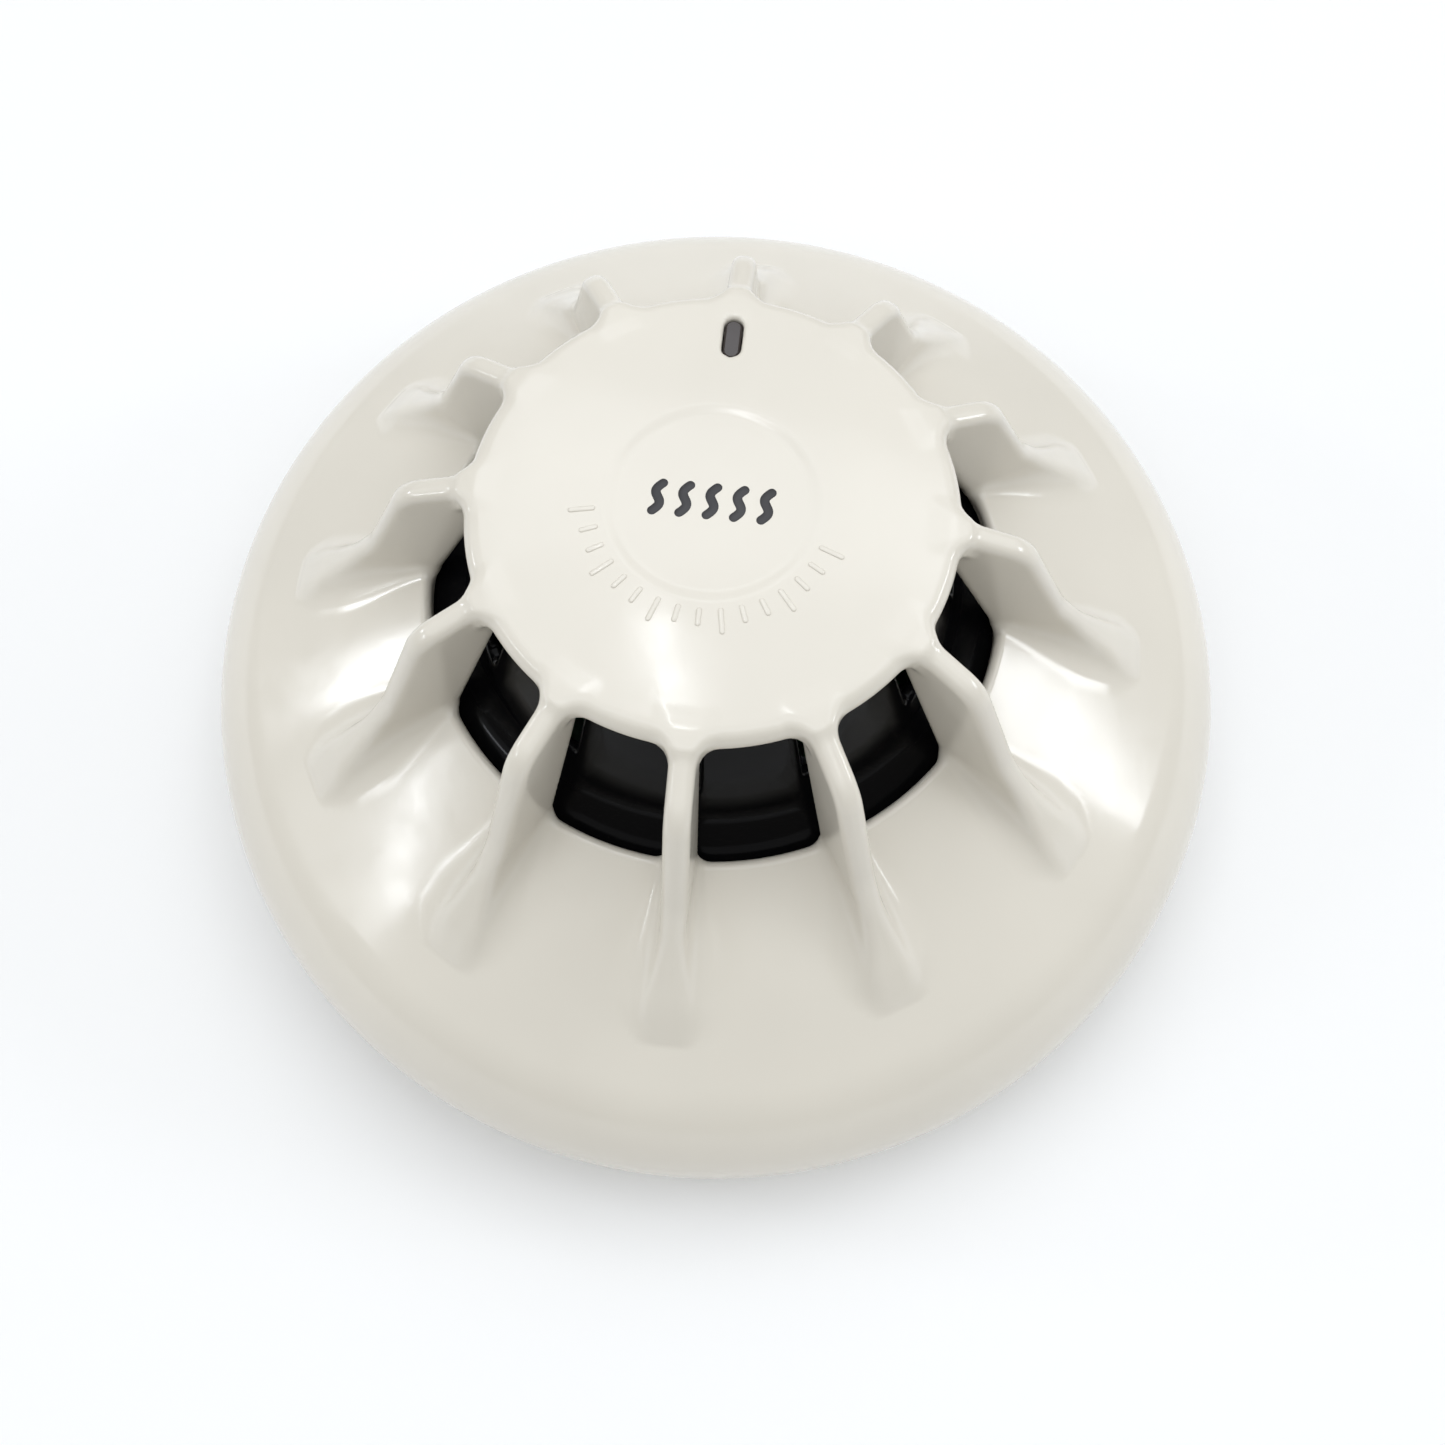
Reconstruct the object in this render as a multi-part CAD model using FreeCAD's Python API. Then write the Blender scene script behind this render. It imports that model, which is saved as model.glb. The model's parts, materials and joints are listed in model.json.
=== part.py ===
import FreeCAD, Part
import math
import os
from FreeCAD import Vector

# A point-type heat detector on its ceiling base.
# Frame: origin in the middle of the base's mounting face, +Z out of the ceiling towards
# the room, +Y towards the indicator. The head twists on the base about +Z.
# Angles are in degrees and run clockwise from +Y, seen from the room, as the ribs are numbered.

# ---- Driving dimensions, mm ----
HEAD_DIAMETER = 109.0
HEAD_HEIGHT = 43.0            # rim edge to the middle of the face
RIM_STANDOFF = 8.0            # mounting face to the rim edge
COVER_WALL = 2.0
FLANGE_CORNER_HEIGHT = 11.46  # above the rim edge, where the flange's cone meets the lip
SHOULDER_RADIUS = 14.3
SILL_DIAMETER = 55.0          # inner edge of the flange, the bottom of the air windows
SILL_HEIGHT = 26.3            # above the rim edge
FACE_DIAMETER = 43.4
FACE_DROP = 1.0               # how far the face falls from its middle to its edge
FACE_THICKNESS = 2.0          # at the face's edge
FACE_EDGE_RADIUS = 0.7
BADGE_DIAMETER = 16.5         # the shallow dish in the middle of the face
BADGE_RAMP_DIAMETER = 19.3
BADGE_DEPTH = 0.2

RIB_COUNT = 12
RIB_THICKNESS = 2.5
CREST_FALL = 22.0             # slopes of the crest's three runs, degrees, from the face out
CREST_STEEP = 64.5
CREST_TAIL = 51.5
CREST_KNEE_DIAMETER = 56.4    # where the first two runs would cross
CREST_BEND_DIAMETER = 66.6    # where the last two would
CREST_KNEE_RADIUS = 5.0
CREST_BEND_RADIUS = 10.0
CREST_FOOT_RADIUS = 14.0
RIB_FOOT_WIDTH = 6.6
RIB_FOOT_HEIGHT = 2.6
RIB_FOOT_DIAMETER = 87.0      # where the foot has faded into the flange

SHROUD_WALL = 1.2
SHROUD_TOP_DIAMETER = 38.4
SHROUD_TOP_ROUNDING = 1.0
SHROUD_FLARE_RADIUS = 6.0
AIR_SLOT_WIDTH = 2.0
AIR_SLOT_HEIGHT = 7.0
AIR_SLOT_DROP = 2.0           # top of the slots below the shroud's top

INDICATOR_OFFSET = 16.8       # indicator centre from the axis
INDICATOR_LENGTH = 4.0
INDICATOR_WIDTH = 1.6
INDICATOR_RECESS = 0.25

BODY_PLATE_Z = 10.0
BODY_PLATE_THICKNESS = 2.0
SPIGOT_DIAMETER = 79.0
SPIGOT_WALL = 3.0
SPIGOT_BOTTOM_Z = 4.0
SPIGOT_LEAD_IN = 0.5          # chamfer on the spigot's outer lower edge
LUG_COUNT = 4
LUG_LIFT = 0.2                # lugs above the spigot's lower edge
LUG_REACH = 3.5
LUG_THICKNESS = 2.0
LUG_HALF_ANGLE = 8.0
UNLOCK_ANGLE = 20.0

BOARD_DIAMETER = 76.0
BOARD_THICKNESS = 1.6
BOARD_POST_HEIGHT = 3.0
POST_WALL = 1.8               # plastic round the screws' holes
BOARD_SCREW_INSET = 3.2       # from the board's edge
SHROUD_SKIRT_INSET = 6.0      # shroud's skirt inside the board's edge
SEAL_THICKNESS = 1.0
LED_BODY_HEIGHT = 1.0
LED_LENS_RADIUS = 0.95
STALK_HEIGHT = 20.0
BEAD_RADIUS = 1.1
BEAD_DEPTH = 3.0              # bead's middle below the shroud's ceiling
LEAD_RADIUS = 0.22
LEAD_SPREAD = 0.7

BASE_INSET = 4.5              # base inside the head's rim
BASE_PLATE = 2.0
BASE_SKIRT_WALL = 2.0
BASE_SKIRT_HEIGHT = 9.0
BASE_EDGE_RADIUS = 0.6
BAYONET_WALL = 2.0
LEDGE_THICKNESS = 2.0
LEDGE_HALF_ANGLE = 9.5
STOP_ANGLE = 1.5              # width of the end stops
STOP_PLAY = 1.5               # free turn left before a lug meets its stop
CABLE_HOLE_SIZE = 22.0        # square, with rounded corners
CABLE_HOLE_CORNER = 3.0
FIXING_PITCH_MIN = 50.0
FIXING_PITCH_MAX = 70.0
FIXING_SLOT_WIDTH = 4.5

TERMINAL_COUNT = 4
TERMINAL_INSET = 8.5          # terminals inside the spigot's bore
TERMINAL_BOSS_DIAMETER = 9.0
TERMINAL_BOSS_HEIGHT = 3.0
CONTACT_STRIP = 0.5
CONTACT_WIDTH = 5.0
CONTACT_SPAN = 10.0           # terminal screw to the spring's contact hump
BLADE_THICKNESS = 0.8
BLADE_HALF_ANGLE = 9.0
CONTACT_PIN_RADIUS = 1.0
CLAMP_SIZE = 7.0
CLAMP_THICKNESS = 0.8

BODY_SCREW_COUNT = 3
BODY_SCREW_INSET = 10.5       # from the head's edge
BODY_SCREW_RADIUS = 1.4
BODY_SCREW_HEAD_RADIUS = 2.4
BODY_SCREW_HEAD_HEIGHT = 1.8
BODY_SCREW_LENGTH = 8.0
BOARD_SCREW_RADIUS = 0.9
BOARD_SCREW_HEAD_RADIUS = 1.9
TERMINAL_SCREW_RADIUS = 1.6
TERMINAL_SCREW_HEAD_RADIUS = 2.8

# ---- Named clearances, mm ----
SCREW_FIT = 0.05              # screw shank to its hole
BODY_FIT = 0.3                # head body plate inside the cover's rim
SEAT_GAP = 0.15               # shroud under the cover, contact under contact
SHROUD_TOP_GAP = 0.8
LENS_FIT = 0.1                # light pipe in the cover's slot
LENS_CLEARANCE = 0.3          # light pipe through the shroud
LED_GAP = 0.3
LUG_GAP = 0.3                 # lug under its ledge
LUG_TIP_GAP = 0.5
BOSS_GAP = 0.2                # cover bosses above the body's bosses

# ---- Derived sizes ----
RIM_Z = RIM_STANDOFF
FACE_Z = RIM_Z + HEAD_HEIGHT
HEAD_RADIUS = HEAD_DIAMETER / 2
FACE_RADIUS = FACE_DIAMETER / 2
FACE_EDGE_Z = FACE_Z - FACE_DROP
FACE_UNDER_Z = FACE_EDGE_Z - FACE_THICKNESS
FACE_SPHERE = (FACE_RADIUS ** 2 + FACE_DROP ** 2) / (2 * FACE_DROP)
SILL_RADIUS = SILL_DIAMETER / 2
SILL_Z = RIM_Z + SILL_HEIGHT
SLOPE = (SILL_HEIGHT - FLANGE_CORNER_HEIGHT) / (HEAD_RADIUS - SILL_RADIUS)
FLANGE_SLOPE = math.degrees(math.atan(SLOPE))
WALL_DROP = COVER_WALL / math.cos(math.radians(FLANGE_SLOPE))
BODY_SCREW_OFFSET = HEAD_RADIUS - BODY_SCREW_INSET
BODY_PLATE_TOP = BODY_PLATE_Z + BODY_PLATE_THICKNESS
BODY_BOSS_TOP = BODY_PLATE_TOP + BODY_PLATE_THICKNESS
BODY_RADIUS = HEAD_RADIUS - COVER_WALL - BODY_FIT
BOARD_Z = BODY_PLATE_TOP + BOARD_POST_HEIGHT
BOARD_TOP = BOARD_Z + BOARD_THICKNESS
BOARD_SCREW_OFFSET = BOARD_DIAMETER / 2 - BOARD_SCREW_INSET
SHROUD_SKIRT_RADIUS = BOARD_DIAMETER / 2 - SHROUD_SKIRT_INSET
SHROUD_BOTTOM = BOARD_TOP + SEAL_THICKNESS
SHROUD_TOP = FACE_UNDER_Z - SHROUD_TOP_GAP
SPIGOT_RADIUS = SPIGOT_DIAMETER / 2
BASE_RADIUS = HEAD_RADIUS - BASE_INSET
TERMINAL_OFFSET = SPIGOT_RADIUS - SPIGOT_WALL - TERMINAL_INSET
LUG_TIP_RADIUS = SPIGOT_RADIUS + LUG_REACH
LUG_Z = SPIGOT_BOTTOM_Z + LUG_LIFT
LEDGE_Z = LUG_Z + LUG_THICKNESS + LUG_GAP
LEDGE_TOP = LEDGE_Z + LEDGE_THICKNESS
BAYONET_RADIUS = LUG_TIP_RADIUS + LUG_TIP_GAP
LEDGE_INNER_RADIUS = SPIGOT_RADIUS + LUG_TIP_GAP
TERMINAL_BOSS_TOP = BASE_PLATE + TERMINAL_BOSS_HEIGHT
BLADE_Z = BODY_PLATE_Z - BLADE_THICKNESS
HUMP_Z = BLADE_Z - SEAT_GAP
RIB_ANGLES = [360.0 / RIB_COUNT * i for i in range(RIB_COUNT)]
LUG_ANGLES = [45.0 + 360.0 / LUG_COUNT * i for i in range(LUG_COUNT)]
TERMINAL_ANGLES = [45.0 + 360.0 / TERMINAL_COUNT * i for i in range(TERMINAL_COUNT)]
BODY_SCREW_ANGLES = [60.0 + 360.0 / BODY_SCREW_COUNT * i for i in range(BODY_SCREW_COUNT)]
BOARD_SCREW_ANGLES = [0.0, 120.0, 240.0]

AXIS = Vector(0, 0, 1)
ORIGIN = Vector(0, 0, 0)


def at(radius, angle, z=0.0):
    """A point at a radius and a clockwise angle from +Y."""
    turn = math.radians(angle)
    return Vector(radius * math.sin(turn), radius * math.cos(turn), z)


def turned(shape, angle):
    """A copy of a shape drawn along +Y, turned clockwise about the axis."""
    copy = shape.copy()
    copy.rotate(ORIGIN, AXIS, -angle)
    return copy


def rounded_edges(corners):
    """Lines and tangent arcs through corners given as (x, z, radius), as a closed loop."""
    edges = []
    ends = []
    count = len(corners)
    for i, (x, z, radius) in enumerate(corners):
        here = Vector(x, 0, z)
        if radius == 0:
            ends.append((here, here))
            continue
        before = Vector(corners[i - 1][0], 0, corners[i - 1][1])
        after = Vector(corners[(i + 1) % count][0], 0, corners[(i + 1) % count][1])
        back = (before - here).normalize()
        ahead = (after - here).normalize()
        half = back.getAngle(ahead) / 2
        reach = radius / math.tan(half)
        middle = (back + ahead).normalize()
        centre = here + middle * (radius / math.sin(half))
        start = here + back * reach
        end = here + ahead * reach
        edges.append(Part.Arc(start, centre - middle * radius, end).toShape())
        ends.append((start, end))
    for i in range(count):
        start = ends[i][1]
        end = ends[(i + 1) % count][0]
        if start.distanceToPoint(end) > 1e-6:
            edges.append(Part.LineSegment(start, end).toShape())
    return edges


def section(corners):
    """A face in the XZ plane from corners given as (x, z, radius)."""
    wire = Part.Wire(Part.__sortEdges__(rounded_edges(corners)))
    return Part.Face(wire)


def revolved(corners):
    """A full turn of a section about the axis."""
    return section(corners).revolve(ORIGIN, AXIS, 360)


def ring(outer, inner, bottom, top):
    """A plain ring."""
    return revolved([(inner, bottom, 0), (outer, bottom, 0), (outer, top, 0), (inner, top, 0)])


def sector(outer, inner, bottom, top, angle, half_angle):
    """A piece of a ring, centred on an angle."""
    profile = section([(inner, bottom, 0), (outer, bottom, 0), (outer, top, 0), (inner, top, 0)])
    piece = profile.revolve(ORIGIN, AXIS, 2 * half_angle)
    piece.rotate(ORIGIN, AXIS, 90 - angle - half_angle)
    return piece


def rod(radius, bottom, top, place=ORIGIN):
    """An upright round bar."""
    return Part.makeCylinder(radius, top - bottom, Vector(place.x, place.y, bottom))


def oblong(length, width, bottom, top, centre):
    """An upright bar of slot section, its long side along +Y."""
    reach = (length - width) / 2
    bar = Part.makeBox(width, 2 * reach, top - bottom,
                       Vector(centre.x - width / 2, centre.y - reach, bottom))
    for side in (-reach, reach):
        bar = bar.fuse(rod(width / 2, bottom, top, centre + Vector(0, side, 0)))
    return bar.removeSplitter()


def block(size_x, size_y, bottom, height, centre, chamfer=0.0):
    """A box centred on a point, with its upper edges chamfered."""
    box = Part.makeBox(size_x, size_y, height,
                       Vector(centre.x - size_x / 2, centre.y - size_y / 2, bottom))
    if chamfer:
        upper = [e for e in box.Edges if e.BoundBox.ZMin > bottom + height / 2]
        box = box.makeChamfer(chamfer, upper)
    return box


def joined(shapes):
    """Touching solids as one."""
    whole = shapes[0].multiFuse(shapes[1:])
    return whole.removeSplitter()


def flange_z(radius):
    """Height of the flange's conical outer surface at a radius."""
    return SILL_Z - SLOPE * (radius - SILL_RADIUS)


def face_z(radius):
    """Height of the slightly domed face at a radius."""
    return FACE_Z - FACE_SPHERE + math.sqrt(FACE_SPHERE ** 2 - radius ** 2)


def export(name, shape):
    shape.exportStep("parts/%s.step" % name)


# ---- Cover ----

def flange_shell():
    outer = HEAD_RADIUS
    inner = HEAD_RADIUS - COVER_WALL
    edge = 0.5
    return revolved([
        (outer, RIM_Z, edge),
        (outer, flange_z(outer), SHOULDER_RADIUS),
        (SILL_RADIUS, SILL_Z, edge),
        (SILL_RADIUS, SILL_Z - WALL_DROP, 0),
        (inner, flange_z(inner) - WALL_DROP, SHOULDER_RADIUS - COVER_WALL),
        (inner, RIM_Z, 0),
    ])


def face_plate():
    plate = rod(FACE_RADIUS, FACE_UNDER_Z, FACE_Z)
    dome = Part.makeSphere(FACE_SPHERE, Vector(0, 0, FACE_Z - FACE_SPHERE))
    plate = plate.common(dome)
    rim = [e for e in plate.Edges if abs(e.BoundBox.ZMin - FACE_EDGE_Z) < 0.01
           and abs(e.BoundBox.ZMax - FACE_EDGE_Z) < 0.01]
    plate = plate.makeFillet(FACE_EDGE_RADIUS, rim)
    badge = BADGE_DIAMETER / 2
    ramp = BADGE_RAMP_DIAMETER / 2
    floor = face_z(badge) - BADGE_DEPTH
    dish = revolved([(0, floor, 0), (badge, floor, 0), (ramp, face_z(ramp), 0),
                     (ramp, FACE_Z + 1, 0), (0, FACE_Z + 1, 0)])
    return plate.cut(dish)


def crest_corners():
    """Outline of one rib in its own plane, as (radius, z, rounding)."""
    fall = math.tan(math.radians(CREST_FALL))
    steep = math.tan(math.radians(CREST_STEEP))
    tail = math.tan(math.radians(CREST_TAIL))
    knee_r = CREST_KNEE_DIAMETER / 2
    knee_z = FACE_EDGE_Z - fall * (knee_r - FACE_RADIUS)
    bend_r = CREST_BEND_DIAMETER / 2
    bend_z = knee_z - steep * (bend_r - knee_r)
    foot_r = (bend_z + tail * bend_r - SILL_Z - SLOPE * SILL_RADIUS) / (tail - SLOPE)
    toe_r = foot_r + CREST_FOOT_RADIUS * math.tan(math.radians(CREST_TAIL - FLANGE_SLOPE) / 2)
    sunk = WALL_DROP / 2
    inner_r = FACE_RADIUS - COVER_WALL
    start_r = FACE_RADIUS - 1.0
    return [
        (start_r, FACE_EDGE_Z - FACE_EDGE_RADIUS, 0),
        (FACE_RADIUS, FACE_EDGE_Z - 0.1, 0),
        (knee_r, knee_z, CREST_KNEE_RADIUS),
        (bend_r, bend_z, CREST_BEND_RADIUS),
        (foot_r, flange_z(foot_r), CREST_FOOT_RADIUS),
        (toe_r + 1.0, flange_z(toe_r + 1.0), 0),
        (toe_r + 1.0, flange_z(toe_r + 1.0) - sunk, 0),
        (SILL_RADIUS + 0.6, SILL_Z - SLOPE * 0.6 - sunk, 0),
        (SILL_RADIUS - 0.6, SILL_Z - sunk, 0),
        (inner_r, FACE_UNDER_Z, 0),
        (inner_r, FACE_UNDER_Z + FACE_THICKNESS / 2, 0),
    ]


def rib_foot_wire(radius, scale):
    """The flared section of a rib's foot, square to the rib, sunk a little into the flange."""
    half = RIB_FOOT_WIDTH / 2 * scale
    neck = RIB_THICKNESS / 2 * min(1.0, scale * 1.4)
    surface = flange_z(radius)
    low = surface - WALL_DROP / 2
    high = surface + RIB_FOOT_HEIGHT * scale
    bend_x = neck + (half - neck) * 0.3
    bend_z = surface + RIB_FOOT_HEIGHT * scale * 0.3
    right = Part.Arc(Vector(half, radius, surface), Vector(bend_x, radius, bend_z),
                     Vector(neck, radius, high)).toShape()
    left = Part.Arc(Vector(-neck, radius, high), Vector(-bend_x, radius, bend_z),
                    Vector(-half, radius, surface)).toShape()
    lines = [
        Part.LineSegment(Vector(-half, radius, low), Vector(half, radius, low)),
        Part.LineSegment(Vector(half, radius, low), Vector(half, radius, surface)),
        Part.LineSegment(Vector(neck, radius, high), Vector(-neck, radius, high)),
        Part.LineSegment(Vector(-half, radius, surface), Vector(-half, radius, low)),
    ]
    edges = [lines[0].toShape(), lines[1].toShape(), right, lines[2].toShape(), left,
             lines[3].toShape()]
    return Part.Wire(edges)


def rib():
    """One rib, drawn along +Y, with its flared foot."""
    outline = section(crest_corners())
    fin = outline.extrude(Vector(0, RIB_THICKNESS, 0))
    fin.translate(Vector(0, -RIB_THICKNESS / 2, 0))
    fin.rotate(ORIGIN, AXIS, 90)
    fade_radius = RIB_FOOT_DIAMETER / 2
    full_radius = SILL_RADIUS + 0.35 * (fade_radius - SILL_RADIUS)
    sections = [rib_foot_wire(SILL_RADIUS, 1.0), rib_foot_wire(full_radius, 1.0),
                rib_foot_wire(fade_radius, 0.3)]
    foot = Part.makeLoft(sections, True, True)
    foot = foot.cut(rod(SILL_RADIUS, SILL_Z - 10, SILL_Z + 10))
    return fin.fuse(foot)


def cover_bosses():
    """Screw bosses under the flange, trimmed to its outer surface."""
    outer = HEAD_RADIUS - COVER_WALL / 2
    trim = revolved([(0, RIM_Z, 0), (outer, RIM_Z, 0),
                     (outer, flange_z(outer) - WALL_DROP / 2, SHOULDER_RADIUS - COVER_WALL / 2),
                     (SILL_RADIUS, SILL_Z - WALL_DROP / 2, 0), (0, SILL_Z - WALL_DROP / 2, 0)])
    boss_radius = BODY_SCREW_RADIUS + POST_WALL
    bosses = []
    for angle in BODY_SCREW_ANGLES:
        boss = rod(boss_radius, BODY_BOSS_TOP + BOSS_GAP, SILL_Z, at(BODY_SCREW_OFFSET, angle))
        bosses.append(boss.common(trim))
    return bosses


def outer_cover():
    ribs = [turned(rib(), angle) for angle in RIB_ANGLES]
    cover = joined([flange_shell(), face_plate()] + ribs + cover_bosses())
    slot = oblong(INDICATOR_LENGTH + 2 * LENS_FIT, INDICATOR_WIDTH + 2 * LENS_FIT,
                  FACE_UNDER_Z - 5, FACE_Z + 1, at(INDICATOR_OFFSET, 0))
    cuts = [slot]
    for angle in BODY_SCREW_ANGLES:
        cuts.append(rod(BODY_SCREW_RADIUS + SCREW_FIT, BODY_BOSS_TOP - 1,
                        screw_tip_z() + 0.5, at(BODY_SCREW_OFFSET, angle)))
    return cover.cut(cuts)


# ---- Shroud, seal and light pipe ----

def sensor_shroud():
    """The black inner moulding: a capped cone that flares out under the flange."""
    lean = (SILL_RADIUS - FACE_RADIUS) / (FACE_EDGE_Z - SILL_Z)
    top_r = SHROUD_TOP_DIAMETER / 2
    seat = flange_z(SILL_RADIUS) - WALL_DROP - SEAT_GAP
    corner_r = (top_r + lean * (SHROUD_TOP - seat - SLOPE * SILL_RADIUS)) / (1 - lean * SLOPE)
    corner_z = seat - SLOPE * (corner_r - SILL_RADIUS)
    skirt_r = SHROUD_SKIRT_RADIUS
    skirt_z = seat - SLOPE * (skirt_r - SILL_RADIUS)
    drop = SHROUD_WALL / math.cos(math.radians(FLANGE_SLOPE))
    inner_top_r = top_r + lean * SHROUD_WALL - SHROUD_WALL * math.hypot(1, lean)
    inner_corner_r = corner_r - SHROUD_WALL * 0.8
    inner_corner_z = corner_z - drop + SLOPE * SHROUD_WALL * 0.8
    shell = revolved([
        (0, SHROUD_TOP, 0),
        (top_r, SHROUD_TOP, SHROUD_TOP_ROUNDING),
        (corner_r, corner_z, SHROUD_FLARE_RADIUS),
        (skirt_r, skirt_z, 0.8),
        (skirt_r, SHROUD_BOTTOM, 0),
        (skirt_r - SHROUD_WALL, SHROUD_BOTTOM, 0),
        (skirt_r - SHROUD_WALL, skirt_z - drop + SLOPE * SHROUD_WALL, 0),
        (inner_corner_r, inner_corner_z, SHROUD_FLARE_RADIUS + SHROUD_WALL),
        (inner_top_r, SHROUD_TOP - SHROUD_WALL, 0),
        (0, SHROUD_TOP - SHROUD_WALL, 0),
    ])
    slot_top = SHROUD_TOP - AIR_SLOT_DROP
    slot = Part.makeBox(AIR_SLOT_WIDTH, skirt_r, AIR_SLOT_HEIGHT,
                        Vector(-AIR_SLOT_WIDTH / 2, top_r - 4, slot_top - AIR_SLOT_HEIGHT))
    cuts = [turned(slot, angle) for angle in RIB_ANGLES]
    cuts.append(oblong(INDICATOR_LENGTH + 2 * LENS_CLEARANCE, INDICATOR_WIDTH + 2 * LENS_CLEARANCE,
                       SHROUD_BOTTOM, SHROUD_TOP + 1, at(INDICATOR_OFFSET, 0)))
    return shell.cut(cuts)


def shroud_seal():
    outer = SHROUD_SKIRT_RADIUS + 0.3
    return ring(outer, outer - SHROUD_WALL - 0.8, BOARD_TOP, SHROUD_BOTTOM)


def light_pipe():
    top = face_z(INDICATOR_OFFSET + INDICATOR_LENGTH / 2) - INDICATOR_RECESS
    bar = oblong(INDICATOR_LENGTH, INDICATOR_WIDTH, led_top_z() + LED_GAP, top,
                 at(INDICATOR_OFFSET, 0))
    upper = [e for e in bar.Edges if e.BoundBox.ZMin > top - 0.01]
    return bar.makeChamfer(0.2, upper)


# ---- Head body and its contacts ----

def head_body():
    plate = rod(BODY_RADIUS, BODY_PLATE_Z, BODY_PLATE_TOP)
    inner = SPIGOT_RADIUS - SPIGOT_WALL
    spigot = revolved([(inner, SPIGOT_BOTTOM_Z, 0),
                       (SPIGOT_RADIUS - SPIGOT_LEAD_IN, SPIGOT_BOTTOM_Z, 0),
                       (SPIGOT_RADIUS, SPIGOT_BOTTOM_Z + SPIGOT_LEAD_IN, 0),
                       (SPIGOT_RADIUS, BODY_PLATE_Z, 0), (inner, BODY_PLATE_Z, 0)])
    solids = [plate, spigot]
    for angle in LUG_ANGLES:
        solids.append(sector(LUG_TIP_RADIUS, SPIGOT_RADIUS - SPIGOT_WALL / 2, LUG_Z,
                             LUG_Z + LUG_THICKNESS, angle, LUG_HALF_ANGLE))
    for angle in BODY_SCREW_ANGLES:
        solids.append(rod(BODY_SCREW_HEAD_RADIUS + POST_WALL, BODY_PLATE_Z, BODY_BOSS_TOP,
                          at(BODY_SCREW_OFFSET, angle)))
    for angle in BOARD_SCREW_ANGLES:
        solids.append(rod(BOARD_SCREW_RADIUS + POST_WALL, BODY_PLATE_Z, BOARD_Z,
                          at(BOARD_SCREW_OFFSET, angle)))
    body = joined(solids)
    cuts = []
    for angle in BODY_SCREW_ANGLES:
        place = at(BODY_SCREW_OFFSET, angle)
        cuts.append(rod(BODY_SCREW_HEAD_RADIUS + 0.2, BODY_PLATE_Z - 1, body_screw_seat_z(), place))
        cuts.append(rod(BODY_SCREW_RADIUS + 0.3, BODY_PLATE_Z, BODY_BOSS_TOP + 1, place))
    for angle in BOARD_SCREW_ANGLES:
        cuts.append(rod(BOARD_SCREW_RADIUS + SCREW_FIT, BODY_PLATE_Z + 0.5, BOARD_Z + 1,
                        at(BOARD_SCREW_OFFSET, angle)))
    for place in contact_pin_places():
        cuts.append(rod(CONTACT_PIN_RADIUS + SCREW_FIT, BODY_PLATE_Z - 1, BODY_PLATE_TOP + 1, place))
    return body.cut(cuts)


def contact_pin_places():
    """Each pin stands at the trailing end of its blade."""
    trail = BLADE_HALF_ANGLE * 0.6
    return [at(TERMINAL_OFFSET, angle - trail) for angle in contact_angles()]


def contact_angles():
    """Where each spring's hump meets its blade, with the head locked."""
    swing = math.degrees(math.atan2(CONTACT_SPAN, TERMINAL_OFFSET))
    return [angle + swing for angle in TERMINAL_ANGLES]


def hump_offset():
    return math.hypot(CONTACT_SPAN, TERMINAL_OFFSET)


def head_contact(index):
    """A flat blade under the head body, riveted by its pin."""
    angle = contact_angles()[index]
    middle = hump_offset()
    blade = sector(middle + CONTACT_WIDTH * 0.7, TERMINAL_OFFSET - CONTACT_WIDTH * 0.6, BLADE_Z,
                   BODY_PLATE_Z, angle, BLADE_HALF_ANGLE)
    return blade.cut(rod(CONTACT_PIN_RADIUS + SCREW_FIT, BLADE_Z - 1, BODY_PLATE_Z + 1,
                         contact_pin_places()[index]))


def contact_pins():
    """Pins that carry each blade's current up to the board."""
    pins = []
    for place in contact_pin_places():
        pin = rod(CONTACT_PIN_RADIUS, BLADE_Z, BOARD_TOP + 1.0, place)
        pins.append(pin)
    return Part.makeCompound(pins)


def body_screw_seat_z():
    return BODY_PLATE_Z + 0.4 + BODY_SCREW_HEAD_HEIGHT


def screw_tip_z():
    return body_screw_seat_z() + BODY_SCREW_LENGTH


def screw(shank_radius, head_radius, head_height, head_z, tip_z, place):
    """A cross-recess pan head screw. The shank runs from the head towards tip_z."""
    up = 1 if tip_z > head_z else -1
    far = head_z - up * head_height
    head = rod(head_radius, min(head_z, far), max(head_z, far), place)
    outer = [e for e in head.Edges if abs(e.BoundBox.ZMin - far) < 0.01
             and abs(e.BoundBox.ZMax - far) < 0.01]
    head = head.makeFillet(min(0.5, head_height * 0.4), outer)
    shank = rod(shank_radius, min(head_z, tip_z), max(head_z, tip_z), place)
    body = head.fuse(shank)
    depth = head_height * 0.6
    arm = head_radius * 1.1
    low = min(far, far + up * depth)
    for size_x, size_y in ((arm, head_radius * 0.28), (head_radius * 0.28, arm)):
        body = body.cut(block(size_x, size_y, low, depth, place))
    return body.removeSplitter()


def body_screws():
    screws = []
    for angle in BODY_SCREW_ANGLES:
        screws.append(screw(BODY_SCREW_RADIUS, BODY_SCREW_HEAD_RADIUS, BODY_SCREW_HEAD_HEIGHT,
                            body_screw_seat_z(), screw_tip_z(), at(BODY_SCREW_OFFSET, angle)))
    return Part.makeCompound(screws)


# ---- Circuit board ----

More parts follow.
